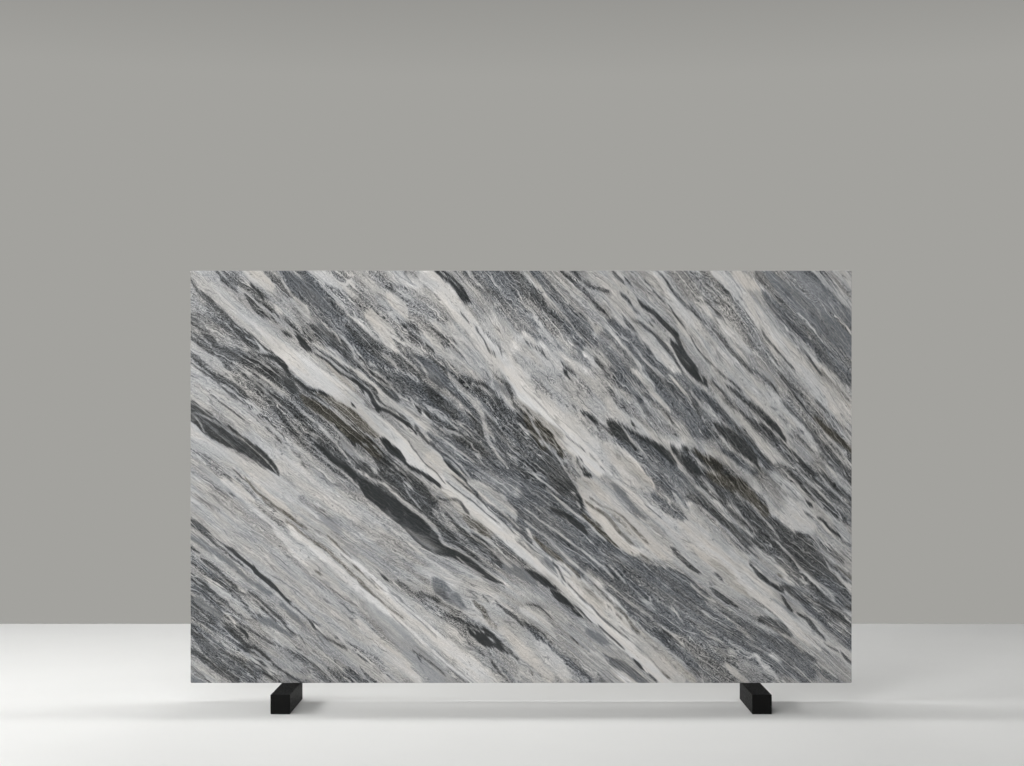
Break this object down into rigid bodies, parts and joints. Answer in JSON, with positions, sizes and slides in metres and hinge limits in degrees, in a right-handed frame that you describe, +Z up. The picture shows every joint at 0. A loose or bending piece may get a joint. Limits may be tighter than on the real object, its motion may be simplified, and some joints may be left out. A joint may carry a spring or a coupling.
{
  "type": "marble slab",
  "caption": "Polished grey and white veined marble slab standing upright across black square-section support blocks.",
  "frame": {"origin": "on the floor, under the middle of the slab and halfway along the blocks", "axes": "+X along the slab to the viewer's right, -Y the way the polished face looks, +Z up"},
  "size_m": [3.175, 0.42, 2.07],
  "materials": {
    "marble": "satin",
    "block": "satin"
  },
  "bodies": {
    "root": {"marble_slab": "marble", "support_block_left": "block", "support_block_right": "block"}
  },
  "joints": []
}
